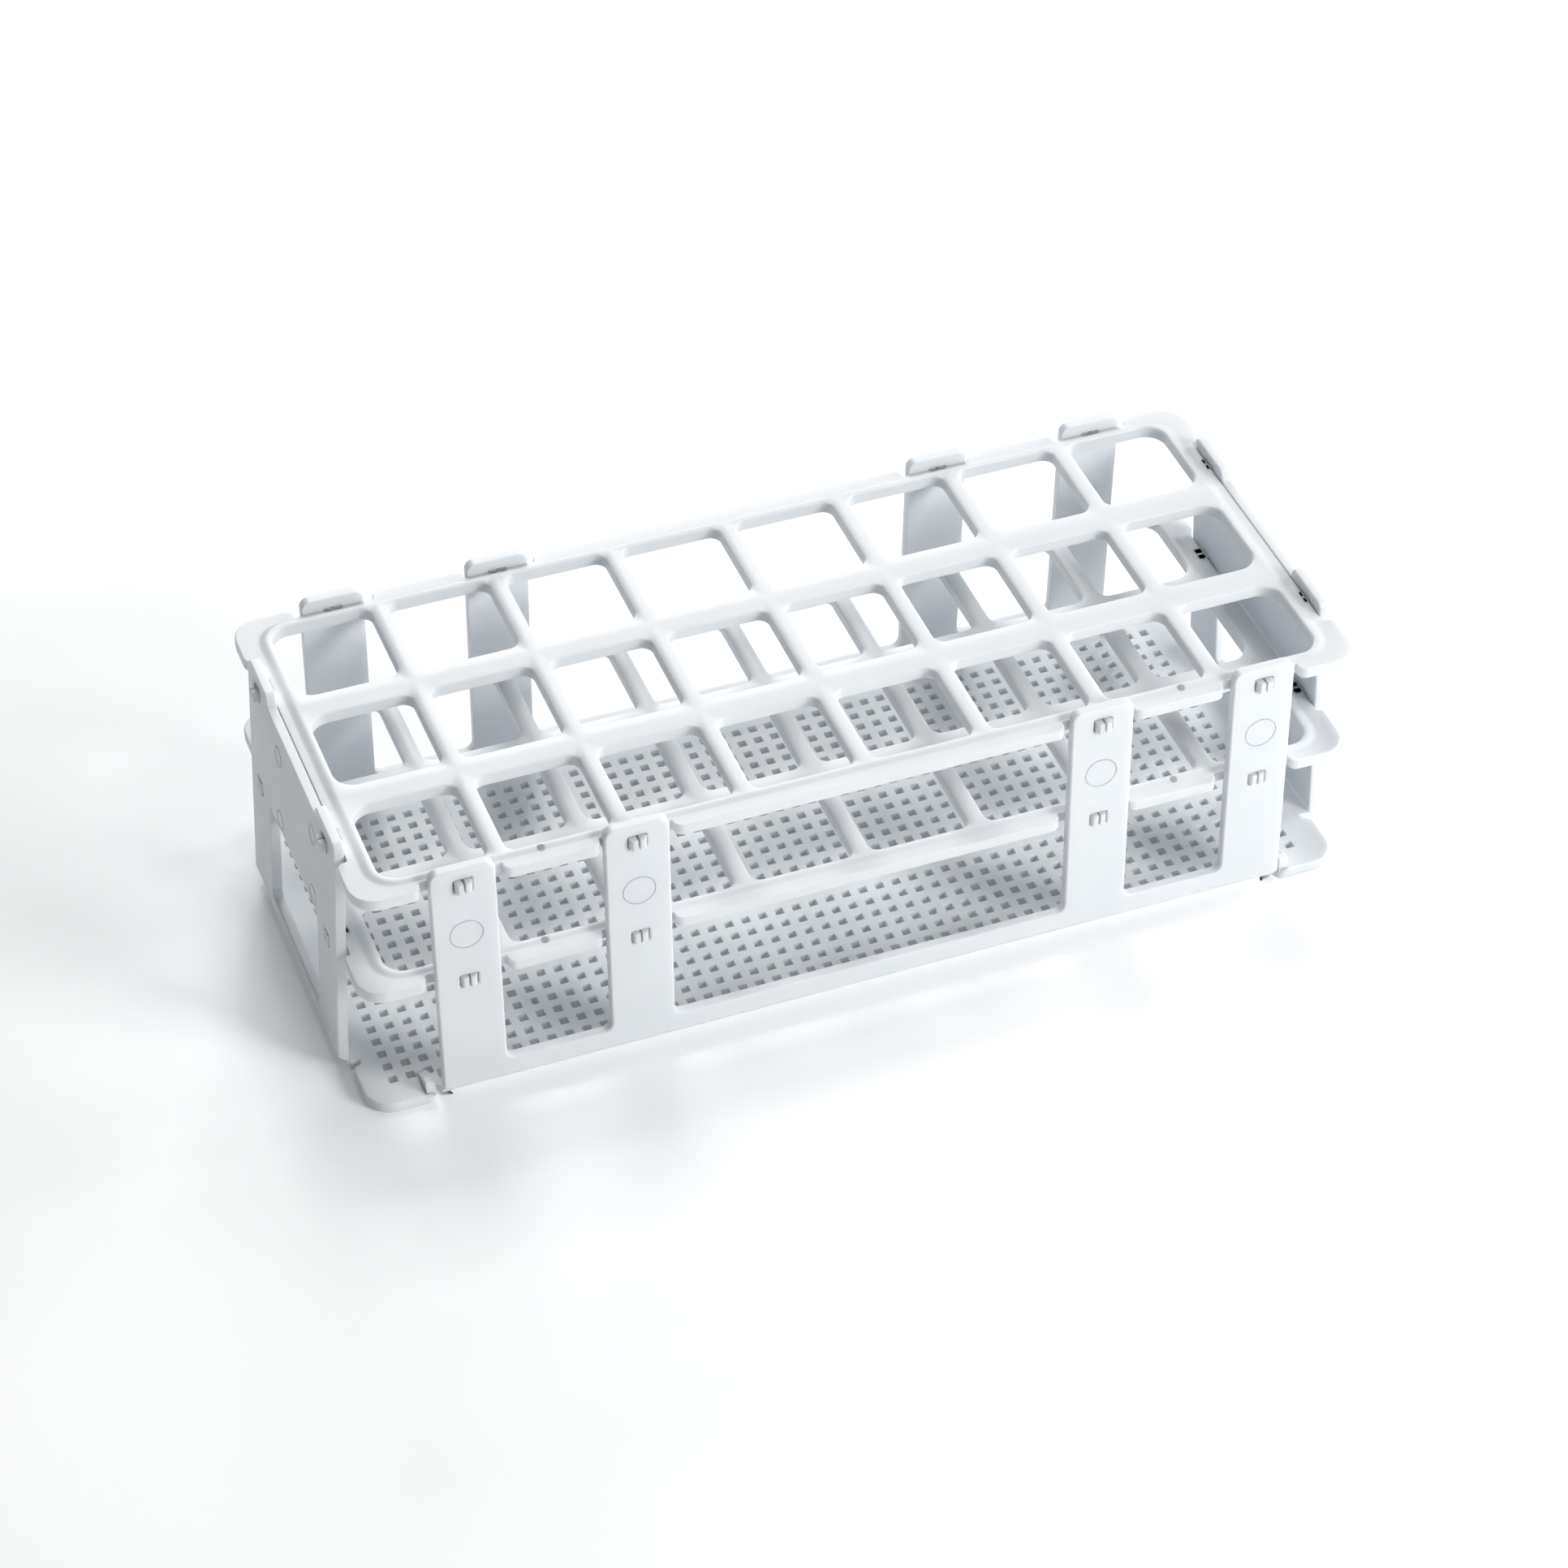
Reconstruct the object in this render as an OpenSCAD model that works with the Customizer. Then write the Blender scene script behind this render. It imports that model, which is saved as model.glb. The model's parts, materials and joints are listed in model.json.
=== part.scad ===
// Flat-pack rack for twenty-four 25 mm test tubes. A flat base carries four side
// panels on living hinges; the panels fold up and snap onto the teeth of two shelves.
// Millimetres, +Z up, +X along the rack. The origin is under the middle of the base.

/* [Rack] */
// Length of the base and of both shelves
rack_l = 246; // [240:0.5:260]
// Width of the base and of both shelves
rack_w = 104; // [102:0.5:114]
// Plan radius of the four outer corners
corner_r = 6.5; // [3:0.5:10]

/* [Tube holes] */
// Holes along the rack
cols = 8; // [8:1:8]
// Holes across the rack
rows = 3; // [3:1:3]
// Distance between hole centres along the rack
col_pitch = 29.3; // [27.5:0.1:29.4]
// Distance between hole centres across the rack
row_pitch = 33.4; // [31:0.1:33.5]
// Size of a hole along the rack
hole_l = 25.1; // [20:0.1:26]
// Size of a hole across the rack
hole_w = 25.9; // [20:0.1:26]
// Corner radius of a hole
hole_r = 2.8; // [1:0.1:6]
// Corner radius of the end holes, towards the ends of the rack
hole_end_r = 5; // [2:0.1:8]

/* [Shelves] */
// Thickness of a shelf at its rim
rim_t = 3; // [2:0.1:4]
// Height of the bars above the rim
bar_rise = 0.6; // [0.3:0.1:2]
// Underside of the lower shelf
lower_z = 35.3; // [30:0.1:40]
// Underside of the upper shelf
upper_z = 63.8; // [55:0.1:66]

/* [Base] */
// Thickness of the base
base_t = 3; // [2.5:0.1:4]

/* [Panels] */
// Thickness of the four hinged panels
panel_t = 2.6; // [2:0.1:2.8]
// Height of the posts and ears above the floor
post_top = 70.2; // [69.5:0.1:74]
// Width of a post or ear
post_w = 15.4; // [13:0.1:16]
// Distance of the outer posts from the middle
outer_post = 98; // [97:0.1:98.5]
// Distance of the inner posts from the middle
inner_post = 57; // [56:0.1:57.5]
// Top of the rail that joins the posts
rail_top = 9.8; // [8:0.1:14]
// Width of the end panels
end_w = 70.6; // [66:0.1:71]
// Top edge of the end panels between their ears
ledge_top = 67; // [64:0.1:67.5]
// Width of the window in an end panel
window_w = 39.6; // [20:0.1:44]
// Lower edge of the window in an end panel
window_low = 8.5; // [8:0.1:20]
// Upper edge of the window in an end panel
window_high = 37; // [30:0.1:45]

/* [Living hinges] */
// Thickness of the web in a living hinge
web_t = 0.6; // [0.4:0.1:1]
// Distance of the end hinges from the middle
end_hinge = 123.6; // [122.5:0.1:124.5]
// Distance of the side hinges from the middle
side_hinge = 51.6; // [50.9:0.1:52.5]

/* [Snap fit] */
// Width of a slot in a post
slot_w = 4.5; // [4.4:0.1:6]
// Room above and below a tooth in its slot
slot_play = 0.25; // [0.25:0.05:0.6]
// Width of one tooth
tooth_w = 1.8; // [1.2:0.1:1.9]
// Gap between the two teeth in a slot
tooth_gap = 0.5; // [0.3:0.1:0.5]
// How far a tooth of the upper shelf stands proud of its panel
tooth_proud = 1.5; // [1.4:0.1:1.8]
// Length of the tapered tip of a tooth
tooth_tip = 1.3; // [0.8:0.1:1.4]

/* [Hidden] */
$fn = 48;

web_r = web_t / 2;
hinge_z = base_t - web_r;
// Room between the base and the foot of a panel that leans inwards
fold_gap = 0.06;
rim_top_z = upper_z + rim_t;
// The panels' outer faces are flush with the rim of the upper shelf
side_seat = rack_w / 2 - panel_t;
end_seat = rack_l / 2 - 0.1 - panel_t;
// The hinges lie further out than the shelves, so closed panels lean inwards
side_lean = asin((side_hinge - web_r - side_seat) / (rim_top_z - hinge_z));
end_lean = asin((end_hinge - web_r - end_seat) / (rim_top_z - hinge_z));
// Edge of a shelf behind the panels
fit_gap = 0.18;
shelf_side = side_seat - fit_gap;
shelf_end = end_seat - fit_gap;
// The end panels stand further out at the lower shelf, so its ends reach further
lower_shelf_end = shelf_end + 0.8;

side_w = 2 * outer_post + post_w;
post_r = 2.3;
rail_r = 2.2;
window_r = 1.8;
rim_r = 2;
// Half widths of the notches that the posts stand in
inner_notch_in = 9.2;
inner_notch_out = 8.3;
outer_notch_in = 9.9;
outer_notch_out = 9.5;
end_notch = 36.9;
ear_y = (end_w - post_w) / 2;
slot_low = lower_z + rim_t / 2;
slot_high = upper_z + rim_t / 2;
slot_h = rim_t + 2 * slot_play;

// Bars stand up from the rim inside this outline
crest_side = 48.9;
crest_end = 118.5;
crest_r = 5;

// Slits at both ends of each living hinge
slit_w = 1.5;
slit_depth = 2.1;
rib_w = 2.4;
rib_h = 3.3;
rib_l = 7.7;
rib_x = side_w / 2 + slit_w;
core_hole = [2.6, 3.8];
far = 300;

// Reach of the teeth from the edge of the upper shelf, and the same on the lower shelf
tooth_reach = fit_gap + panel_t + tooth_proud;
tooth_taper = 0.6;
// Length of a tooth's root inside the shelf
tooth_root = 0.8;

module round_rect(l, w, r) {
  square([l - 2 * r, w], center = true);
  square([l, w - 2 * r], center = true);
  for (x = [-1, 1], y = [-1, 1]) translate([x * (l / 2 - r), y * (w / 2 - r)]) circle(r);
}

// Rounded rectangle given by its lower left and upper right corners
module round_box(low, high, r) {
  translate((low + high) / 2) round_rect(high[0] - low[0], high[1] - low[1], r);
}

module mirror_4() {
  for (x = [0, 1], y = [0, 1]) mirror([x, 0, 0]) mirror([0, y, 0]) children();
}

// One rounded tab at a corner of a plate, cut off before the side and the end panel
module corner_tab(side_start, end_start) {
  intersection() {
    round_rect(rack_l, rack_w, corner_r);
    round_box([side_start, end_start], [rack_l / 2, rack_w / 2], rim_r);
  }
}

module plate_rim(end_edge) {
  square([2 * end_edge, 2 * shelf_side], center = true);
  mirror_4() corner_tab(outer_post + outer_notch_out, end_notch);
  for (y = [0, 1]) mirror([0, y]) {
    inner = inner_post - inner_notch_in;
    round_box([-inner, 0], [inner, rack_w / 2], rim_r);
    for (x = [0, 1]) mirror([x, 0])
      round_box([inner_post + inner_notch_out, 0], [outer_post - outer_notch_in, rack_w / 2], rim_r);
  }
}

// The hole of one column. Its corners towards the nearer end of the rack are rounder in an
// end column.
module tube_hole(column) {
  end = column == 0 ? -1 : 1;
  intersection() {
    round_rect(hole_l, hole_w, hole_r);
    if (column == 0 || column == cols - 1)
      translate([-end * hole_l, 0]) round_rect(3 * hole_l, hole_w, hole_end_r);
  }
}

module tube_holes() {
  for (i = [0 : cols - 1], j = [0 : rows - 1])
    translate([(i - (cols - 1) / 2) * col_pitch, (j - (rows - 1) / 2) * row_pitch]) tube_hole(i);
}

// Pair of snap teeth, as thick as the shelf, that reach out along -Y from an edge at y = 0.
// Their outer sides draw in towards the tips, which guide the slot over them.
module tooth_pair() {
  near = tooth_gap / 2;
  wide = near + tooth_w;
  for (side = [0, 1]) mirror([side, 0, 0]) linear_extrude(rim_t)
    polygon([[near, tooth_root], [near, -tooth_reach], [wide - tooth_taper, -tooth_reach],
             [wide, tooth_tip - tooth_reach], [wide, tooth_root]]);
}

module shelf_teeth() {
  for (turn = [0, 180]) rotate(turn) {
    for (x = [-outer_post, -inner_post, inner_post, outer_post])
      translate([x, -shelf_side, 0]) tooth_pair();
    for (y = [-ear_y, ear_y])
      translate([-shelf_end, y, 0]) rotate(-90) tooth_pair();
  }
}

module shelf(z, end_edge) translate([0, 0, z]) {
  difference() {
    union() {
      linear_extrude(rim_t) plate_rim(end_edge);
      linear_extrude(rim_t + bar_rise) round_rect(2 * crest_end, 2 * crest_side, crest_r);
    }
    translate([0, 0, -1]) linear_extrude(rim_t + bar_rise + 2) tube_holes();
  }
  shelf_teeth();
}

module lower_shelf() color([0.93, 0.94, 0.95]) shelf(lower_z, lower_shelf_end);
module upper_shelf() color([0.95, 0.96, 0.97]) shelf(upper_z, shelf_end);

module base_outline() {
  core_x = rack_l / 2 - slit_depth;
  core_y = rack_w / 2 - slit_depth;
  difference() {
    union() {
      square([2 * core_x, 2 * core_y], center = true);
      mirror_4() corner_tab(side_w / 2 + slit_w, end_w / 2 + slit_w);
      square([2 * (end_hinge - web_r), end_w], center = true);
      square([side_w, 2 * (side_hinge - web_r)], center = true);
    }
    mirror_4() translate([side_w / 2 - core_hole[0] / 2 - 0.6, rack_w / 2 - 5.5])
      square(core_hole, center = true);
  }
}

// Wedge under the edge of the base along one hinge, which leaves a 45 degree mitre
module base_mitre(reach, length) {
  edge = reach - web_r;
  low = hinge_z - web_r;
  rotate([90, 0, 0]) translate([0, 0, -length / 2]) linear_extrude(length)
    polygon([[edge, low], [edge - low - 1, -1], [far, -1], [far, low]]);
}

module corner_rib() {
  front = rack_w / 2 - 0.4;
  translate([rib_x + rib_w, 0, 0]) rotate([0, -90, 0]) linear_extrude(rib_w)
    polygon([[base_t - 1, front], [base_t + rib_h, front], [base_t + rib_h, front - 2.1],
             [base_t, front - rib_l], [base_t - 1, front - rib_l]]);
}

// The real plate is also pierced by a fine grid of drain holes, which this solid leaves out
module base_plate() color([0.92, 0.93, 0.95]) {
  difference() {
    union() {
      linear_extrude(base_t) base_outline();
      mirror_4() corner_rib();
    }
    for (turn = [0, 180]) rotate(turn) {
      base_mitre(end_hinge, end_w + slit_w);
      rotate(90) base_mitre(side_hinge, side_w + slit_w);
    }
  }
}

// A panel stands on its hinge axis, which is the X axis here, and its outer face is to -Y.
// Its foot is cut to a 45 degree mitre that starts at the hinge.
module panel_solid() {
  foot = web_r + fold_gap;
  difference() {
    translate([0, web_r, 0]) rotate([90, 0, 0]) linear_extrude(panel_t) children();
    rotate([90, 0, 90]) translate([0, 0, -far / 2]) linear_extrude(far)
      polygon([[-web_r, foot], [-web_r - 4, foot + 4], [-web_r - 4, -12], [1, -12], [1, foot]]);
  }
}

function up(z) = z - hinge_z;

module slots(centres) {
  for (x = centres, z = [slot_low, slot_high])
    translate([x, up(z)]) square([slot_w, slot_h], center = true);
}

module side_profile() {
  posts = [-outer_post, -inner_post, inner_post, outer_post];
  difference() {
    union() {
      for (x = posts) round_box([x - post_w / 2, -10], [x + post_w / 2, up(post_top)], post_r);
      translate([-side_w / 2, -10]) square([side_w, up(rail_top) + rail_r + 10]);
    }
    for (i = [0 : 2])
      round_box([posts[i] + post_w / 2, up(rail_top)], [posts[i + 1] - post_w / 2, far], rail_r);
    slots(posts);
  }
}

module end_profile() {
  difference() {
    union() {
      translate([-end_w / 2, -10]) square([end_w, up(ledge_top) + 10]);
      for (x = [-ear_y, ear_y])
        round_box([x - post_w / 2, -5], [x + post_w / 2, up(post_top)], post_r);
    }
    round_box([-window_w / 2, up(window_low)], [window_w / 2, up(window_high)], window_r);
    slots([-ear_y, ear_y]);
  }
}

module place_side(turn) {
  rotate(turn) translate([0, -side_hinge, hinge_z]) rotate([-side_lean, 0, 0]) children();
}

module place_end(turn) {
  rotate(turn) translate([-end_hinge, 0, hinge_z]) rotate(-90) rotate([-end_lean, 0, 0]) children();
}

module front_panel() color([0.94, 0.95, 0.96]) place_side(0) panel_solid() side_profile();
module back_panel() color([0.94, 0.95, 0.96]) place_side(180) panel_solid() side_profile();
module left_end_panel() color([0.93, 0.94, 0.95]) place_end(0) panel_solid() end_profile();
module right_end_panel() color([0.93, 0.94, 0.95]) place_end(180) panel_solid() end_profile();

// Thin web that a panel turns on, drawn as a rod on the hinge axis
module hinge_web(length) {
  clear = 0.02;
  color([0.88, 0.91, 0.93]) rotate([0, 90, 0]) cylinder(h = length, r = web_r - clear, center = true);
}

module front_hinge_web() translate([0, -side_hinge, hinge_z]) hinge_web(side_w);
module back_hinge_web() translate([0, side_hinge, hinge_z]) hinge_web(side_w);
module left_hinge_web() translate([-end_hinge, 0, hinge_z]) rotate(90) hinge_web(end_w);
module right_hinge_web() translate([end_hinge, 0, hinge_z]) rotate(90) hinge_web(end_w);

base_plate();
front_panel();
back_panel();
left_end_panel();
right_end_panel();
lower_shelf();
upper_shelf();
front_hinge_web();
back_hinge_web();
left_hinge_web();
right_hinge_web();
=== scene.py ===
"""Flat-pack rack for 24 test tubes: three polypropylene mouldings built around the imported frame.

Every moulding is drawn as closed outlines with rounded corners. An outline becomes a wall of rings,
so each edge has its own rounding, and flat caps close the solid. Lengths here are millimetres;
solids are scaled to metres when their mesh is made.
"""

import json
import math

import bpy
import numpy as np
from mathutils import Matrix, Vector, geometry


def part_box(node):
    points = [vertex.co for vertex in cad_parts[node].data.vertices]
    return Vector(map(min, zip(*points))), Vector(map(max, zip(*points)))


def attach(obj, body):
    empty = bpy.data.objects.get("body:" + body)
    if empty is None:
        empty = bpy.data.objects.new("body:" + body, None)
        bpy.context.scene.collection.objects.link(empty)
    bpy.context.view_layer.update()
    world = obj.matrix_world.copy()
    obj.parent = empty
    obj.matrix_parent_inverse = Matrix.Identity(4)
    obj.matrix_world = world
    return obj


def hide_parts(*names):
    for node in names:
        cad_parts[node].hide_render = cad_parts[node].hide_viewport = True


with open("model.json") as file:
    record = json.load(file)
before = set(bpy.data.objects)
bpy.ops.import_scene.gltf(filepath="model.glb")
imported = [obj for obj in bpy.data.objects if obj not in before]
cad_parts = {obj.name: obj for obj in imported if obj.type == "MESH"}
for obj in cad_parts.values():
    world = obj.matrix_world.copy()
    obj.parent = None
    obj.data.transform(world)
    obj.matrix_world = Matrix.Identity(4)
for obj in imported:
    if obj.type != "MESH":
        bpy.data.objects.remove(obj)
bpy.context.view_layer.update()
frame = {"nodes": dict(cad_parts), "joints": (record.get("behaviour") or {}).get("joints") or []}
MM = 0.001


# ---------------------------------------------------------------- sizes from the frame
def box_mm(node):
    low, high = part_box(node)
    return np.array(low) / MM, np.array(high) / MM


JOINTS = {j["name"]: j for j in frame["joints"]}
BASE_LOW, BASE_HIGH = box_mm("base_plate")
SIDE_HINGE = JOINTS["back_hinge"]["pos_m"][1] / MM
END_HINGE = JOINTS["right_hinge"]["pos_m"][0] / MM
HINGE_Z = JOINTS["back_hinge"]["pos_m"][2] / MM
HALF_L, HALF_W = 123.0, 52.0
POST_TOP = box_mm("front_panel")[1][2]
SIDE_HALF = box_mm("front_panel")[1][0]
END_HALF = box_mm("left_end_panel")[1][1]
RIM_T = 3.0
LOWER_Z = box_mm("lower_shelf")[0][2]
UPPER_Z = box_mm("upper_shelf")[0][2]

WEB_R = 0.3
BASE_T = HINGE_Z + WEB_R
PANEL_T = 2.6
CORNER_R = 6.5
SIDE_SEAT = HALF_W - PANEL_T
END_SEAT = HALF_L - 0.1 - PANEL_T
LEAN_HEIGHT = UPPER_Z + RIM_T - HINGE_Z
SIDE_LEAN = math.asin((SIDE_HINGE - WEB_R - SIDE_SEAT) / LEAN_HEIGHT)
END_LEAN = math.asin((END_HINGE - WEB_R - END_SEAT) / LEAN_HEIGHT)
SHELF_SIDE = SIDE_SEAT - 0.18
SHELF_END = END_SEAT - 0.18
# The end panels stand further out at the lower shelf, so its ends reach further
LOWER_EXTRA = 1.1

COLS, ROWS = 8, 3
COL_PITCH, ROW_PITCH = 29.3, 33.4
HOLE_L, HOLE_W, HOLE_R, HOLE_END_R = 25.1, 25.9, 2.8, 5.0
POST_W = 15.4
OUTER_POST, INNER_POST = 98.0, 57.0
EAR_Y = END_HALF - POST_W / 2
SLOT_W, SLOT_H = 4.5, 3.5
TOOTH_W, TOOTH_GAP, TOOTH_TIP, TOOTH_TAPER = 1.8, 0.5, 1.3, 0.6
SLOTS = [z + RIM_T / 2 for z in (LOWER_Z, UPPER_Z)]


# ---------------------------------------------------------------- outlines
def outline(corners, step=math.radians(15)):
    """Closed outline through (x, y, radius) corners with the material on its left.

    Returns its points as complex numbers and, for each, the unit normal out of the material."""
    spots = [complex(x, y) for x, y, _ in corners]
    points, normals = [], []
    for k, (_, _, radius) in enumerate(corners):
        before, here, after = spots[k - 1], spots[k], spots[(k + 1) % len(spots)]
        come = (here - before) / abs(here - before)
        go = (after - here) / abs(after - here)
        turn = np.angle(go / come)
        side = 1 if turn > 0 else -1
        start = here - come * radius * math.tan(abs(turn) / 2)
        centre = start + side * radius * 1j * come
        count = max(2, math.ceil(abs(turn) / step))
        for i in range(count + 1):
            tangent = come * np.exp(1j * turn * i / count)
            points.append(centre - side * radius * 1j * tangent)
            normals.append(-1j * tangent)
    return np.array(points), np.array(normals)


def mirrored(quarter):
    """Four-fold symmetric outline from its corners in the first quadrant, going anticlockwise."""
    second = [(-x, y, r) for x, y, r in reversed(quarter)]
    third = [(-x, -y, r) for x, y, r in quarter]
    fourth = [(x, -y, r) for x, y, r in reversed(quarter)]
    return outline(quarter + second + third + fourth)


def rectangle(x, y, length, width, radius, hole=False, step=15):
    right, top = length / 2, width / 2
    corners = [(x + right, y + top, radius), (x - right, y + top, radius),
               (x - right, y - top, radius), (x + right, y - top, radius)]
    return outline(corners[::-1] if hole else corners, math.radians(step if radius > 1 else 45))


# ---------------------------------------------------------------- solids
class Solid:
    """Vertices with their own normals, and faces between rings of them."""

    def __init__(self):
        self.points, self.normals, self.faces = [], [], []
        self.count = 0

    def ring(self, path, inset, height, slope):
        """Adds a path, set in by inset, at a height. Each may vary along the path.

        slope is the angle of the normal above the plane of the path."""
        points, normals = path
        moved = points - normals * inset
        height = np.broadcast_to(height, points.shape)
        slope = np.broadcast_to(slope, points.shape)
        flat = np.cos(slope)
        return self.add(np.column_stack([moved.real, moved.imag, height]),
                        np.column_stack([normals.real * flat, normals.imag * flat, np.sin(slope)]))

    def add(self, points, normals):
        self.points.append(points)
        self.normals.append(normals)
        first = self.count
        self.count += len(points)
        return np.arange(first, self.count)

    def wall(self, low, high):
        low_next, high_next = np.roll(low, -1), np.roll(high, -1)
        self.faces.extend(np.column_stack([low, low_next, high_next, high]).tolist())

    def stack(self, path, rings):
        """Rings from the underside to the top, joined by walls. Returns the two end rings."""
        made = [self.ring(path, *r) for r in rings]
        for low, high in zip(made, made[1:]):
            self.wall(low, high)
        return made[0], made[-1]

    def skin(self, grid, first=None, last=None):
        """Joins rows of points into a surface, from the lowest or outermost row inwards.

        Its normals come from its shape, except that first and last may give those of its end rows."""
        grid = np.array(grid)
        along = np.roll(grid, -1, axis=1) - np.roll(grid, 1, axis=1)
        normals = np.cross(along, np.gradient(grid, axis=0))
        normals /= np.linalg.norm(normals, axis=2)[:, :, None]
        if first is not None:
            normals[0] = first
        if last is not None:
            normals[-1] = last
        made = [self.add(p, n) for p, n in zip(grid, normals)]
        for low, high in zip(made, made[1:]):
            self.wall(low, high)
        return made[0], made[-1]

    def cap(self, rings, up):
        """Fills the flat region between the rings, which lie at one height."""
        where = np.concatenate(self.points)
        index = np.concatenate(rings)
        edges, first = [], 0
        for r in rings:
            around = np.arange(first, first + len(r))
            edges.extend(zip(around.tolist(), np.roll(around, -1).tolist()))
            first += len(r)
        flat = [Vector(p) for p in where[index][:, :2].tolist()]
        found = geometry.delaunay_2d_cdt(flat, edges, [], 0, 1e-6, True)
        for triangle in inside(found):
            corners = [int(index[found[3][v][0]]) for v in triangle]
            self.faces.append(corners if up else corners[::-1])

    def mesh(self, name, matrix=None, bend=None):
        points, normals = np.concatenate(self.points), np.concatenate(self.normals)
        if bend:
            points, normals = bend(points, normals)
        normals /= np.linalg.norm(normals, axis=1)[:, None]
        if matrix is not None:
            turn = np.array(matrix.to_3x3())
            points = points @ turn.T + np.array(matrix.translation)
            normals = normals @ turn.T
        data = bpy.data.meshes.new(name)
        data.from_pydata((points * MM).tolist(), [], self.faces)
        data.shade_smooth()
        data.normals_split_custom_set_from_vertices(normals.tolist())
        return data


def inside(found):
    """Triangles of a triangulation that an odd number of outlines goes round."""
    sources, triangles = found[4], found[2]
    fences = {tuple(sorted(e)) for e, s in zip(found[1], sources) if s}
    by_edge = {}
    for t, tri in enumerate(triangles):
        for k in range(3):
            by_edge.setdefault(tuple(sorted((tri[k], tri[k - 1]))), []).append(t)
    parity = {}
    for edge, owners in by_edge.items():
        if len(owners) == 1 and owners[0] not in parity:
            parity[owners[0]] = edge in fences
            todo = [owners[0]]
            while todo:
                t = todo.pop()
                for k in range(3):
                    side = tuple(sorted((triangles[t][k], triangles[t][k - 1])))
                    for other in by_edge[side]:
                        if other not in parity:
                            parity[other] = parity[t] ^ (side in fences)
                            todo.append(other)
    return [tri for t, tri in enumerate(triangles) if parity[t]]


def rounded_edge(low, high, low_r, high_r, steps=3):
    """Rings of a plate's wall with a rounded lower and upper edge."""
    rings = []
    for i in range(steps + 1):
        a = math.pi / 2 * (i / steps - 1)
        rings.append((low_r * (1 - math.cos(a)), low + low_r * (1 + math.sin(a)), a))
    for i in range(steps + 1):
        a = math.pi / 2 * i / steps
        rings.append((high_r * (1 - math.cos(a)), high - high_r * (1 - math.sin(a)), a))
    return rings


def slab(paths, low, high, low_r, high_r, steps=3):
    """Plate between two heights with any number of holes."""
    solid = Solid()
    ends = [solid.stack(p, rounded_edge(low, high, low_r, high_r, steps)) for p in paths]
    solid.cap([e[0] for e in ends], False)
    solid.cap([e[1] for e in ends], True)
    return solid


def joined(name, parts):
    """One object from several meshes."""
    points, faces, normals = [], [], []
    for data in parts:
        first = len(points)
        points.extend(v.co.copy() for v in data.vertices)
        normals.extend(vertex_normals(data))
        faces.extend([first + v for v in p.vertices] for p in data.polygons)
        bpy.data.meshes.remove(data)
    data = bpy.data.meshes.new(name)
    data.from_pydata(points, [], faces)
    data.shade_smooth()
    data.normals_split_custom_set_from_vertices(normals)
    obj = bpy.data.objects.new(name, data)
    bpy.context.scene.collection.objects.link(obj)
    return obj


def vertex_normals(data):
    """The custom normal of each vertex, which all its corners share."""
    found = [None] * len(data.vertices)
    for corner, loop in zip(data.corner_normals, data.loops):
        found[loop.vertex_index] = corner.vector.copy()
    return found


# ---------------------------------------------------------------- shelves
UP = (0.0, 0.0, 1.0)
TABS = [(-47.8, 47.8), (65.3, 88.1), (107.5, 2 * HALF_L)]
# The bars between the holes stand a little above the rim, and fall off towards each hole
BAR_RISE, BAR_DROP, BAR_CROWN, CREASE = 0.55, 0.5, 1.8, 0.3
BAR_HALF = {"column": 2.05, "row": 3.6, "rail": 0.8}
FOOT_END, FOOT_SIDE = 118.5, SHELF_SIDE - 0.35
# Gates on the slope in front of the short front rails
GATE_X, GATE_Y, GATE_LIFT, GATE_TILT = 78.4, -48.0, 0.3, 0.45
HOLE_ENDS = (COLS - 1) / 2 * COL_PITCH + HOLE_L / 2
HOLE_SIDES = (ROWS - 1) / 2 * ROW_PITCH + HOLE_W / 2


def smooth(t):
    t = np.clip(t, 0, 1)
    return t * t * (3 - 2 * t)


def tube_holes():
    for i in range(COLS):
        for j in range(ROWS):
            yield i, j, (i - (COLS - 1) / 2) * COL_PITCH, (j - (ROWS - 1) / 2) * ROW_PITCH


def rim_path(end_edge):
    """Edge of a shelf: recesses where posts and end panels stand, and rounded tabs between them."""
    tab, root, end_notch = 2.0, 0.45, 36.9
    end_tab = min(tab, HALF_L - end_edge - root - 0.02)
    corners = [(end_edge, end_notch, root), (HALF_L, end_notch, end_tab), (HALF_L, HALF_W, CORNER_R)]
    for inner, outer in reversed(TABS):
        if outer < HALF_L:
            corners += [(outer, SHELF_SIDE, root), (outer, HALF_W, tab)]
        if inner > 0:
            corners += [(inner, HALF_W, tab), (inner, SHELF_SIDE, root)]
    return mirrored(corners)


def long_loop(half_x, half_y, radius):
    """Rounded rectangle, anticlockwise, with many points along its long sides."""
    bend = radius * np.exp(1j * np.linspace(0, math.pi / 2, 9))
    core = complex(half_x - radius, half_y - radius)
    side = np.linspace(core.real, -core.real, 60)[1:-1] + 1j * half_y
    upper = np.concatenate([core + bend, side, -core.conjugate() + 1j * bend])
    return np.concatenate([upper, -upper])


def rise(solid):
    """Soft slope from the rim up to the ridge round the grid of bars."""
    foot = long_loop(FOOT_END, FOOT_SIDE, 7.5)
    ridge = long_loop(HOLE_ENDS + BAR_HALF["rail"] + 0.1, HOLE_SIDES + BAR_HALF["rail"] + 0.1, 5.6)
    rows = []
    for t in np.linspace(0, 1, 9):
        line = foot * (1 - t) + ridge * t
        rows.append(np.column_stack([line.real, line.imag, np.full(len(line), RIM_T + BAR_RISE * smooth(t))]))
    return solid.skin(rows, UP, UP)


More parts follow.
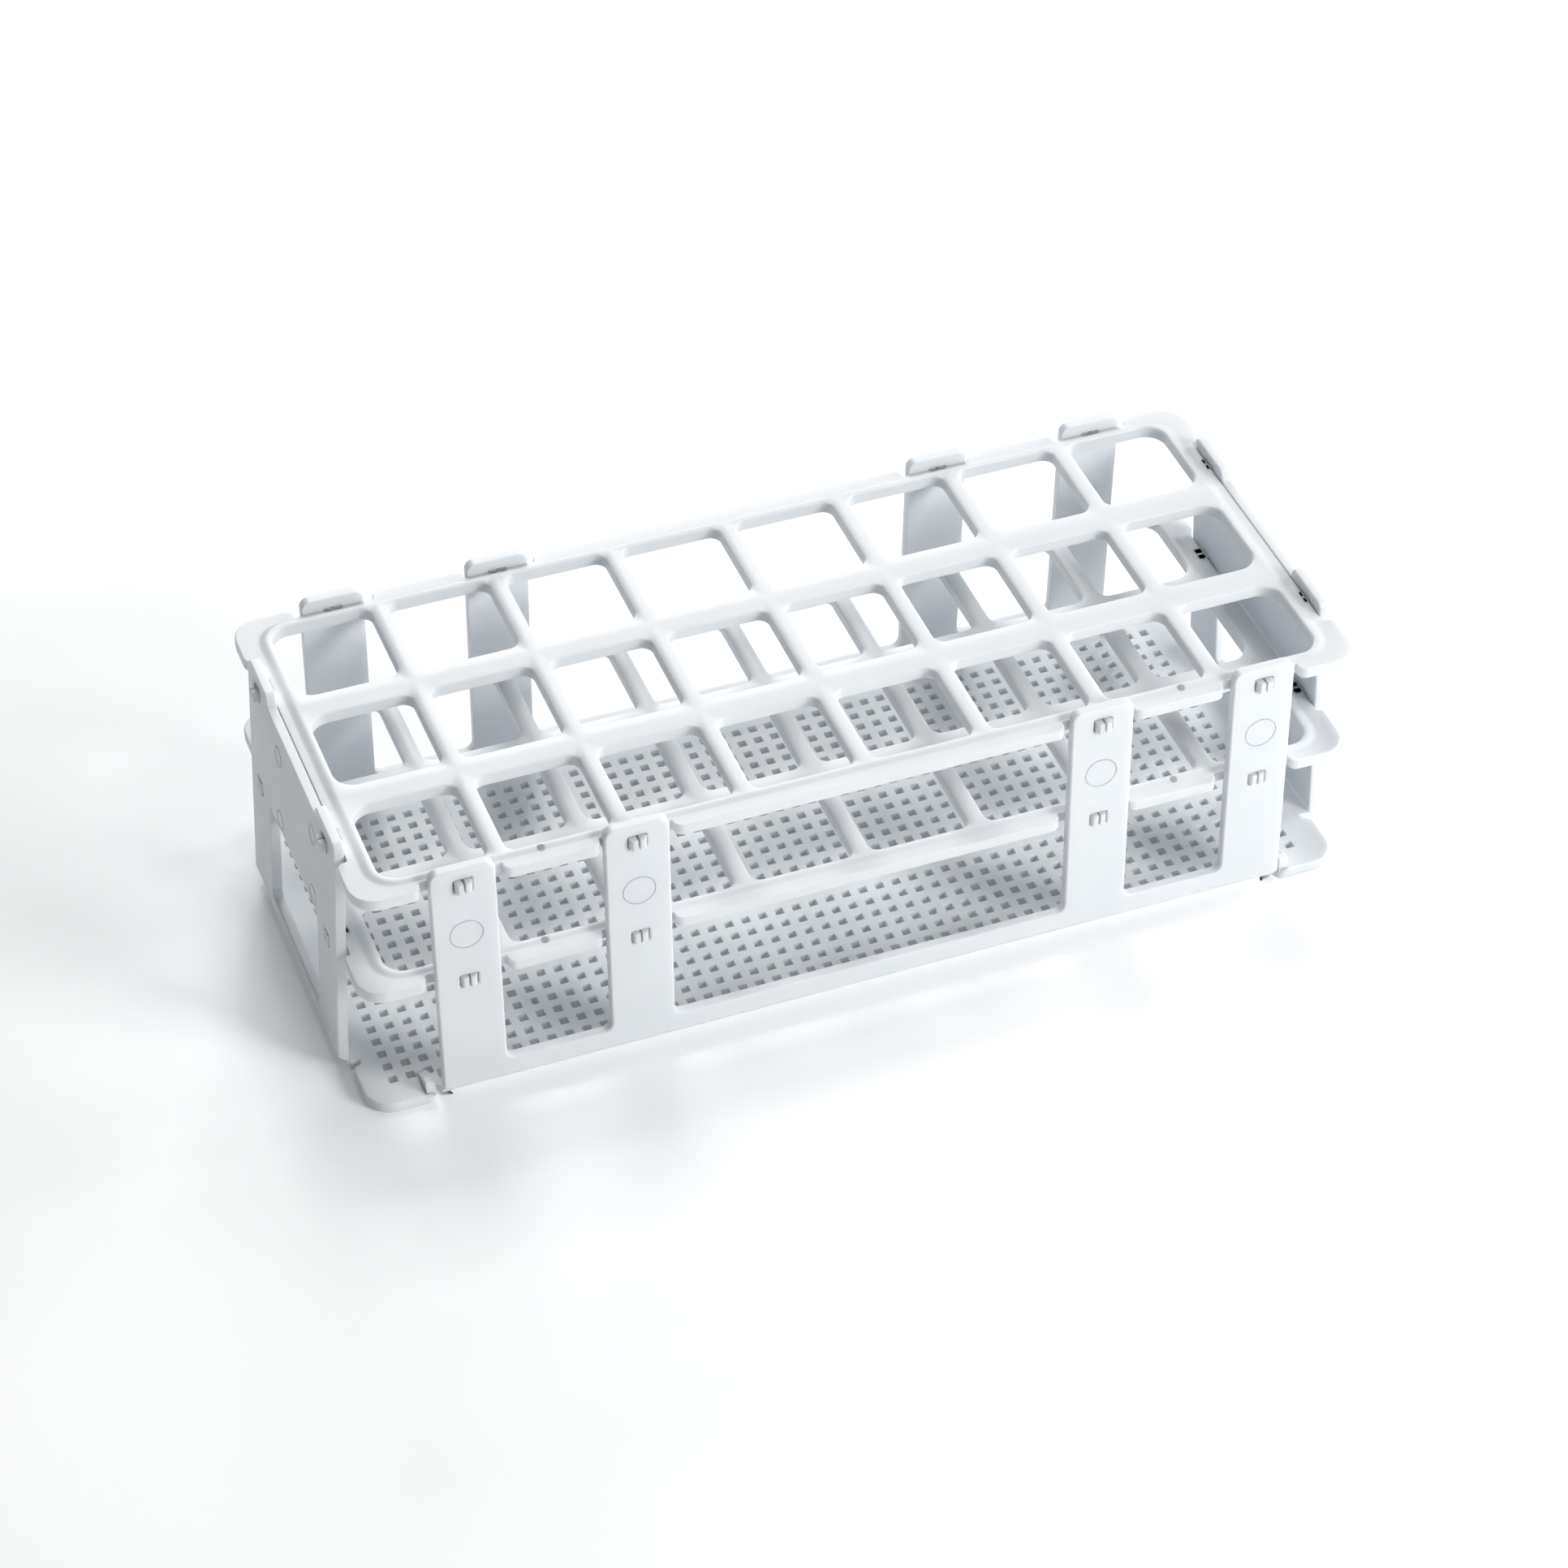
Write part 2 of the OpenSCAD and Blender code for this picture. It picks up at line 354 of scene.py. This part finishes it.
def hole_path(x, y, col):
    """Outline of a tube hole, and its corner radius at each point.

    In an end column the corners towards the end of the rack are rounder."""
    right, top = HOLE_L / 2, HOLE_W / 2
    east = HOLE_END_R if col == COLS - 1 else HOLE_R
    west = HOLE_END_R if col == 0 else HOLE_R
    points, normals = outline([(x + right, y - top, east), (x - right, y - top, west),
                               (x - right, y + top, west), (x + right, y + top, east)], math.radians(7.5))
    return points, normals, np.repeat([east, west, west, east], len(points) // 4)


def bar_reach(out, radius, col, row):
    """How far a bar's top reaches from a hole in the directions out, up to the bar's ridge.

    It reaches furthest where bars cross, so that the ridges meet there."""
    to_end = (out.real * (1 if col else -1) > 0.01) & (col in (0, COLS - 1))
    to_side = out.imag * (row - 1) > 0.01
    half_x = np.where(to_end, BAR_HALF["rail"], BAR_HALF["column"])
    half_y = np.where(to_side, BAR_HALF["rail"], BAR_HALF["row"])
    cos, sin = np.maximum(abs(out.real), 1e-6), np.maximum(abs(out.imag), 1e-6)
    reach = np.minimum((radius + half_x) / cos, (radius + half_y) / sin) - radius
    return np.where(to_end & to_side, BAR_HALF["rail"], reach)


def tube_hole(solid, x, y, col, row):
    """Wall of one hole, rounded under its edge, with a crease over it and then the bars' slopes."""
    points, normals, radius = hole_path(x, y, col)
    reach = bar_reach(-normals, radius, col, row)
    crest = RIM_T + BAR_RISE
    drop = BAR_DROP * np.clip(0.5 + reach / 4, 0, 1)
    crease = CREASE * (1 - np.cos(np.radians([0, 30, 60])))
    away = [np.full(len(points), c) for c in crease]
    away += [CREASE + (reach - CREASE) * t for t in np.linspace(0, 1, 9)]
    rows = []
    for distance in away:
        line = points - normals * distance
        edge = 1 - np.minimum(distance / CREASE, 1)
        slope = drop * np.maximum(1 - distance / reach, 0) ** BAR_CROWN
        height = crest - slope - CREASE * (1 - np.sqrt(1 - edge ** 2))
        rows.append(np.column_stack([line.real, line.imag, height]))
    level = np.column_stack([normals.real, normals.imag, np.zeros(len(normals))])
    under, wall = solid.stack((points, normals), rounded_edge(0, 2, 0.4, 0, 4)[:5])
    brow, over = solid.skin(rows, level, UP)
    solid.wall(wall, brow)
    return under, over


def shelf_plate(end_edge):
    """Flat rim, and inside it a grid of bars with sloping tops."""
    solid = Solid()
    rim = rim_path(end_edge)
    at_recess = (abs(rim[0].real) < end_edge + 0.3) & (abs(rim[0].imag) < SHELF_SIDE + 0.3)
    round_top = np.where(at_recess, 0.2, 0.35)
    under, over = solid.stack(rim, rounded_edge(0, RIM_T, 0.4, round_top, 4))
    foot, ridge = rise(solid)
    unders, overs = [under], [ridge]
    for col, row, x, y in tube_holes():
        low, high = tube_hole(solid, x, y, col, row)
        unders.append(low)
        overs.append(high)
    solid.cap(unders, False)
    solid.cap([over, foot], True)
    solid.cap(overs, True)
    return solid


def tooth(reach, side):
    """One snap tooth of a pair, as thick as the shelf, that reaches out along -Y from y = 0.

    Its outer side draws in towards the tip."""
    near, wide = TOOTH_GAP / 2, TOOTH_GAP / 2 + TOOTH_W
    corners = [(near, 0.9, 0.2), (near, -reach, 0.18), (wide - TOOTH_TAPER, -reach, 0.25),
               (wide, TOOTH_TIP - reach, 0.6), (wide, 0.9, 0.2)]
    if side < 0:
        corners = [(-x, y, r) for x, y, r in reversed(corners)]
    return slab([outline(corners)], 0, RIM_T, 0.12, 0.15, 2)


def tooth_places():
    """Place of each pair of teeth, and whether a side or an end panel hangs on it."""
    for turn in (0, math.pi):
        spin = Matrix.Rotation(turn, 4, "Z")
        for x in (-OUTER_POST, -INNER_POST, INNER_POST, OUTER_POST):
            yield spin @ Matrix.Translation((x, -SHELF_SIDE, 0)), "side"
        for y in (-EAR_Y, EAR_Y):
            quarter = Matrix.Rotation(-math.pi / 2, 4, "Z")
            yield spin @ Matrix.Translation((-SHELF_END, y, 0)) @ quarter, "end"


def gate_mark():
    """Low dimpled disc that a moulding gate leaves."""
    circle = np.exp(1j * np.arange(20) * math.pi / 10)
    rows = []
    for radius, height in ((0.9, -0.02), (0.8, 0.05), (0.65, 0.09), (0.45, 0.04), (0.25, 0.02), (0.12, 0.12)):
        line = circle * radius
        rows.append(np.column_stack([line.real, line.imag, np.full(len(line), height)]))
    solid = Solid()
    foot, tip = solid.skin(rows)
    solid.cap([foot], False)
    solid.cap([tip], True)
    return solid


def shelf(name, cad_node):
    low, tips = box_mm(cad_node)
    lift = Matrix.Translation((0, 0, low[2]))
    reach = {"side": tips[1] - SHELF_SIDE, "end": tips[0] - SHELF_END}
    end_edge = SHELF_END + (LOWER_EXTRA if cad_node == "lower_shelf" else 0)
    parts = [shelf_plate(end_edge).mesh("plate", lift)]
    for place, kind in tooth_places():
        for side in (-1, 1):
            parts.append(tooth(reach[kind], side).mesh("tooth", lift @ place))
    for x in (-GATE_X, GATE_X):
        spot = Matrix.Translation((x, GATE_Y, RIM_T + GATE_LIFT)) @ Matrix.Rotation(GATE_TILT, 4, "X")
        parts.append(gate_mark().mesh("gate", lift @ spot))
    return joined(name, parts)


# ---------------------------------------------------------------- base
# Slits that part the corner tabs from the hinged edges
SLIT_W, SLIT_DEPTH = 1.5, 2.1
# Holes that form the undersides of the panels' feet
CORE_L, CORE_W = 2.6, 3.8


def base_path():
    end, side = END_HINGE - WEB_R, SIDE_HINGE - WEB_R
    slit_x, slit_y = HALF_L - SLIT_DEPTH, HALF_W - SLIT_DEPTH
    tab_x, tab_y = SIDE_HALF + SLIT_W, END_HALF + SLIT_W
    return mirrored([
        (end, END_HALF, 0.5), (slit_x, END_HALF, 0.4), (slit_x, tab_y, 0.35), (HALF_L, tab_y, 1.7),
        (HALF_L, HALF_W, CORNER_R), (tab_x, HALF_W, 1.7), (tab_x, slit_y, 0.35),
        (SIDE_HALF, slit_y, 0.4), (SIDE_HALF, side, 0.5)])


def core_holes():
    """Middle of each core hole, one in each corner of the base."""
    for x in (-1, 1):
        for y in (-1, 1):
            yield complex(x * (SIDE_HALF - 1.9), y * (HALF_W - 5.5))


def drain_paths():
    """Grid of square drain holes, 1 mm off centre each way. A few are partly closed."""
    columns, rows, off = 54, 21, 1
    pitch, size, short = 4.32, 2.1, {(2, 6), (37, 12), (9, 3)}
    for i in range(columns):
        for j in range(rows):
            x, y = (i - (columns - 1) / 2) * pitch - off, (j - (rows - 1) / 2) * pitch - off
            blocked = any(abs(x - c.real) < 2.6 and abs(y - c.imag) < 3.2 for c in core_holes())
            if not blocked:
                wide = size * (0.72 if (i, j) in short else 1)
                yield rectangle(x, y, wide, size, 0.12, hole=True)


def base_solid():
    solid = Solid()
    edge = base_path()
    strip = (abs(edge[0].real) > HALF_L + 0.05) | ((abs(edge[0].imag) < SIDE_HINGE) &
                                                   (abs(edge[0].imag) > SIDE_HINGE - 0.9) &
                                                   (abs(edge[0].real) < SIDE_HALF + 0.1))
    strip = strip.astype(float)
    mitre_z = HINGE_Z - WEB_R
    rings = []
    for inset, z, slope in rounded_edge(0, BASE_T, 0.3, 0.35, 3):
        under = max(0, mitre_z - z)
        rings.append((inset + strip * under, z, slope - strip * 0.78 * (0.3 < z < mitre_z)))
    rings.insert(4, (0.0, mitre_z, -0.4 * strip))
    ends = [solid.stack(edge, rings)]
    for path in drain_paths():
        ends.append(solid.stack(path, rounded_edge(0, BASE_T, 0.07, 0.09, 1)))
    for spot in core_holes():
        path = rectangle(spot.real, spot.imag, CORE_L, CORE_W, 0.3, hole=True)
        ends.append(solid.stack(path, rounded_edge(0, BASE_T, 0.1, 0.15, 1)))
    solid.cap([e[0] for e in ends], False)
    solid.cap([e[1] for e in ends], True)
    return solid


RIB_HALF = 1.2


def corner_rib():
    """Wedge that stiffens a corner tab beside the slit, drawn in its own plane."""
    front = HALF_W - 0.4
    length, height, flat_top = 7.7, 3.3, 2.1
    sunk, top = BASE_T - 1.2, BASE_T + height
    path = outline([(front - length, sunk, 0.3), (front, sunk, 0.3), (front, top, 0.6),
                    (front - flat_top, top, 0.8), (front - length, BASE_T, 0.3)])
    return slab([path], -RIB_HALF, RIB_HALF, 0.25, 0.25, 2)


def base():
    parts = [base_solid().mesh("plate")]
    middle = SIDE_HALF + SLIT_W + RIB_HALF
    upright = Matrix(((0, 0, 1, 0), (1, 0, 0, 0), (0, 1, 0, 0), (0, 0, 0, 1)))
    for x in (-1, 1):
        for y in (0, math.pi):
            place = Matrix.Rotation(y, 4, "Z") @ Matrix.Translation((x * middle, 0, 0)) @ upright
            parts.append(corner_rib().mesh("rib", place))
    return joined("moulded_base_plate", parts)


# ---------------------------------------------------------------- hinged panels
def foot_mitre(points, normals):
    """Cuts the foot of a panel back at 45 degrees from its hinge to its outer face."""
    near = np.clip((FOOT + 3.0 - points[:, 1]) / 2.4, 0, 1)
    out = np.clip(points[:, 2] - WEB_R, 0, None)
    points[:, 1] += near * out
    down = np.clip(-normals[:, 1], 0, 1)
    normals[:, 2] += near * down * (out > 0)
    return points, normals


FOOT = WEB_R + 0.06
RAIL_TOP = 9.8 - HINGE_Z


def slot_paths(places):
    return [rectangle(x, z - HINGE_Z, SLOT_W, SLOT_H, 0.35, hole=True) for x in places for z in SLOTS]


def side_paths():
    top = (POST_TOP - HINGE_Z) / math.cos(SIDE_LEAN) - 0.1
    posts = [-OUTER_POST, -INNER_POST, INNER_POST, OUTER_POST]
    half = POST_W / 2
    corners = [(-SIDE_HALF, FOOT, 0.5), (SIDE_HALF, FOOT, 0.5)]
    for k in (3, 2, 1, 0):
        if k < 3:
            corners.append((posts[k] + half, RAIL_TOP, 2.2))
        corners += [(posts[k] + half, top, 2.3), (posts[k] - half, top, 2.3)]
        if k > 0:
            corners.append((posts[k] - half, RAIL_TOP, 2.2))
    return [outline(corners)] + slot_paths(posts)


def end_paths():
    top = (box_mm("left_end_panel")[1][2] - HINGE_Z) / math.cos(END_LEAN) - 0.1
    ledge = 67.0 - HINGE_Z
    ear = EAR_Y - POST_W / 2
    corners = [(-END_HALF, FOOT, 0.5), (END_HALF, FOOT, 0.5), (END_HALF, top, 2.2),
               (ear + 0.7, top, 1.4), (ear - 0.7, ledge, 0.7), (-ear + 0.7, ledge, 0.7),
               (-ear - 0.7, top, 1.4), (-END_HALF, top, 2.2)]
    low, high = 8.5 - HINGE_Z, 37.0 - HINGE_Z
    window = rectangle(0, (low + high) / 2, 39.6, high - low, 1.8, hole=True)
    return [outline(corners), window] + slot_paths((-EAR_Y, EAR_Y))


def ring_mark(radius, wire):
    """Faint raised circle that an ejector sleeve leaves, with its middle on the outer face."""
    solid = Solid()
    turns, sides = 48, 8
    angle = np.arange(turns) * 2 * math.pi / turns
    circle = np.exp(1j * angle)
    rings = []
    for s in range(sides):
        a = 2 * math.pi * s / sides
        path = (circle * radius, circle)
        rings.append(solid.ring(path, -wire * math.cos(a), 0.45 * wire * math.sin(a), a))
    for low, high in zip(rings, rings[1:] + rings[:1]):
        solid.wall(low, high)
    return solid


def stand(turn, hinge, lean):
    """Places a panel drawn in its own plane: X along it, Y up it, Z out of the rack."""
    sin, cos = math.sin(lean), math.cos(lean)
    upright = Matrix(((1, 0, 0, 0), (0, sin, -cos, -hinge), (0, cos, sin, HINGE_Z), (0, 0, 0, 1)))
    return Matrix.Rotation(turn, 4, "Z") @ upright


def panel(name, paths, place, marks):
    outer_face = PANEL_T - WEB_R
    parts = [slab(paths, -WEB_R, outer_face, 0.35, 0.5, 3).mesh("panel", place, foot_mitre)]
    for x, y, radius, wire in marks:
        parts.append(ring_mark(radius, wire).mesh("mark", place @ Matrix.Translation((x, y, outer_face))))
    return joined(name, parts)


# Place, radius and wire thickness of each ejector ring
POST_MARKS = [(x, 50.8 - HINGE_Z, 3.9, 0.08) for x in (-OUTER_POST, -INNER_POST, INNER_POST, OUTER_POST)]
END_MARKS = [(x, y, 2.5, 0.13) for x, y in ((-10, 57.3), (18, 56.8), (-10, 37.8), (17, 37.8))]


# ---------------------------------------------------------------- plastic
def node(tree, kind, place, **values):
    made = tree.nodes.new(kind)
    made.location = place
    for key, value in values.items():
        if hasattr(made, key):
            setattr(made, key, value)
        else:
            made.inputs[key.replace("_", " ")].default_value = value
    return made


def polypropylene(name, colour, seed):
    """White moulded polypropylene: satin skin with a fine grain, clouding and patches of gloss."""
    material = bpy.data.materials.new(name)
    material.use_nodes = True
    tree = material.node_tree
    shader = tree.nodes["Principled BSDF"]
    where = node(tree, "ShaderNodeTexCoord", (-1200, 0))
    shift = node(tree, "ShaderNodeMapping", (-1000, 0))
    shift.inputs["Location"].default_value = (seed, seed * 0.7, seed * 0.3)
    tree.links.new(where.outputs["Object"], shift.inputs["Vector"])

    def noise(scale, detail, place, roughness=0.5):
        made = node(tree, "ShaderNodeTexNoise", place, Scale=scale, Detail=detail, Roughness=roughness)
        tree.links.new(shift.outputs["Vector"], made.inputs["Vector"])
        return made

    cloud = noise(38, 3, (-800, 300))
    tint = node(tree, "ShaderNodeValToRGB", (-500, 300))
    tint.color_ramp.elements[0].position = 0.3
    tint.color_ramp.elements[1].position = 0.7
    tint.color_ramp.elements[0].color = (*[c * 0.965 for c in colour], 1)
    tint.color_ramp.elements[1].color = (*colour, 1)
    tree.links.new(cloud.outputs["Fac"], tint.inputs["Fac"])
    tree.links.new(tint.outputs["Color"], shader.inputs["Base Color"])

    patch = noise(120, 4, (-800, 0), 0.6)
    sheen = node(tree, "ShaderNodeMapRange", (-500, 0))
    sheen.inputs["To Min"].default_value = 0.34
    sheen.inputs["To Max"].default_value = 0.5
    tree.links.new(patch.outputs["Fac"], sheen.inputs["Value"])
    tree.links.new(sheen.outputs["Result"], shader.inputs["Roughness"])

    wave = noise(90, 2, (-800, -300))
    grain = noise(2600, 2, (-800, -550))
    low = node(tree, "ShaderNodeBump", (-500, -300), Strength=0.12, Distance=0.0006)
    high = node(tree, "ShaderNodeBump", (-300, -400), Strength=0.1, Distance=0.00008)
    tree.links.new(wave.outputs["Fac"], low.inputs["Height"])
    tree.links.new(grain.outputs["Fac"], high.inputs["Height"])
    tree.links.new(low.outputs["Normal"], high.inputs["Normal"])
    tree.links.new(high.outputs["Normal"], shader.inputs["Normal"])

    shader.inputs["IOR"].default_value = 1.49
    shader.inputs["Specular IOR Level"].default_value = 0.5
    shader.inputs["Subsurface Weight"].default_value = 0.6
    shader.inputs["Subsurface Radius"].default_value = (1.0, 1.0, 1.1)
    shader.inputs["Subsurface Scale"].default_value = 0.003
    return material


BASE_PLASTIC = polypropylene("base_polypropylene", (0.75, 0.778, 0.80), 3)
SHELF_PLASTIC = polypropylene("shelf_polypropylene", (0.735, 0.758, 0.776), 11)


# ---------------------------------------------------------------- the rack
def add(obj, material, body, slot, *nodes):
    obj.data.materials.append(material)
    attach(obj, body)
    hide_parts(*nodes)


def build_rack():
    add(base(), BASE_PLASTIC, "rack", "moulded_base", "base_plate")
    for name in ("lower_shelf", "upper_shelf"):
        add(shelf(f"moulded_{name}", name), SHELF_PLASTIC, "rack", "moulded_shelf", name)
    sides = [("front", 0, SIDE_HINGE, SIDE_LEAN, "front_panel"),
             ("back", math.pi, SIDE_HINGE, SIDE_LEAN, "back_panel"),
             ("left", -math.pi / 2, END_HINGE, END_LEAN, "left_end_panel"),
             ("right", math.pi / 2, END_HINGE, END_LEAN, "right_end_panel")]
    for name, turn, hinge, lean, cad_node in sides:
        wide = name in ("front", "back")
        paths, marks = (side_paths(), POST_MARKS) if wide else (end_paths(), END_MARKS)
        made = panel(f"moulded_{cad_node}", paths, stand(turn, hinge, lean), marks)
        add(made, BASE_PLASTIC, f"{name}_flap", "moulded_base", cad_node)
        web = frame["nodes"][f"{name}_hinge_web"]
        web.data.materials.clear()
        web.data.materials.append(BASE_PLASTIC)


# ---------------------------------------------------------------- studio
FLOOR_HALF = 1.2


def floor_paper():
    """Pale paper with a little light of its own, so that shadows on it stay soft."""
    paper = bpy.data.materials.new("paper")
    paper.use_nodes = True
    tree = paper.node_tree
    shader = tree.nodes["Principled BSDF"]
    shader.inputs["Base Color"].default_value = (0.93, 0.93, 0.93, 1)
    shader.inputs["Roughness"].default_value = 0.9
    shader.inputs["Emission Color"].default_value = (0.93, 0.965, 1.0, 1)
    shader.inputs["Emission Strength"].default_value = 0.16
    where = node(tree, "ShaderNodeTexCoord", (-800, 0))
    fibre = node(tree, "ShaderNodeTexNoise", (-600, 0), Scale=900, Detail=3)
    bump = node(tree, "ShaderNodeBump", (-300, 0), Strength=0.15, Distance=0.0002)
    tree.links.new(where.outputs["Object"], fibre.inputs["Vector"])
    tree.links.new(fibre.outputs["Fac"], bump.inputs["Height"])
    tree.links.new(bump.outputs["Normal"], shader.inputs["Normal"])
    return paper


def floor():
    data = bpy.data.meshes.new("floor")
    corners = [(x * FLOOR_HALF, y * FLOOR_HALF, 0) for x, y in ((-1, -1), (1, -1), (1, 1), (-1, 1))]
    data.from_pydata(corners, [], [(0, 1, 2, 3)])
    data.materials.append(floor_paper())
    obj = bpy.data.objects.new("floor", data)
    bpy.context.scene.collection.objects.link(obj)


def backdrop():
    """A pale backdrop that lights the rack only a little."""
    world = bpy.data.worlds.new("studio")
    bpy.context.scene.world = world
    world.use_nodes = True
    tree = world.node_tree
    fill = tree.nodes["Background"]
    fill.inputs["Color"].default_value = (0.95, 0.975, 1.0, 1)
    fill.inputs["Strength"].default_value = 0.045
    pale = node(tree, "ShaderNodeBackground", (0, -200), Strength=1.0)
    ray = node(tree, "ShaderNodeLightPath", (0, 300))
    choice = node(tree, "ShaderNodeMixShader", (250, 0))
    tree.links.new(ray.outputs["Is Camera Ray"], choice.inputs["Fac"])
    tree.links.new(fill.outputs["Background"], choice.inputs[1])
    tree.links.new(pale.outputs["Background"], choice.inputs[2])
    tree.links.new(choice.outputs["Shader"], tree.nodes["World Output"].inputs["Surface"])


LAMP_SIZE = 0.4
LAMP_AIM = Vector((0, 0, 0.03))


def lamp(name, place, power):
    """Square soft box that faces the rack."""
    light = bpy.data.lights.new(name, "AREA")
    light.shape = "RECTANGLE"
    light.size = light.size_y = LAMP_SIZE
    light.energy = power
    obj = bpy.data.objects.new(name, light)
    obj.location = place
    obj.rotation_euler = (LAMP_AIM - Vector(place)).to_track_quat("-Z", "Y").to_euler()
    bpy.context.scene.collection.objects.link(obj)


def studio():
    floor()
    backdrop()
    lamp("back_high", (0.05, 0.48, 1.0), 4.9)
    lamp("back_low", (0.2, 1.0, 0.5), 5.2)
    lamp("front_high", (0.1, -0.55, 1.0), 1.2)
    lamp("front_right", (0.65, -0.85, 0.5), 9.6)
    lamp("right", (1.05, 0.05, 0.45), 5.0)


def camera():
    """The view of the rack from the front left and above."""
    azimuth, elevation = math.radians(20.94), math.radians(41.73)
    look = Vector((math.sin(azimuth) * math.cos(elevation), math.cos(azimuth) * math.cos(elevation),
                   -math.sin(elevation)))
    right = Vector((0.93507, -0.35444, 0.00357)).normalized()
    right = (right - look * right.dot(look)).normalized()
    up = right.cross(look)
    data = bpy.data.cameras.new("camera")
    data.sensor_width = 36
    data.lens = 102.03
    obj = bpy.data.objects.new("camera", data)
    rotation = Matrix((right, up, -look)).transposed()
    obj.matrix_world = Matrix.Translation((-0.289, -0.7499, 0.7382)) @ rotation.to_4x4()
    bpy.context.scene.collection.objects.link(obj)
    bpy.context.scene.camera = obj


build_rack()
studio()
camera()
bpy.context.scene.view_settings.view_transform = "Standard"
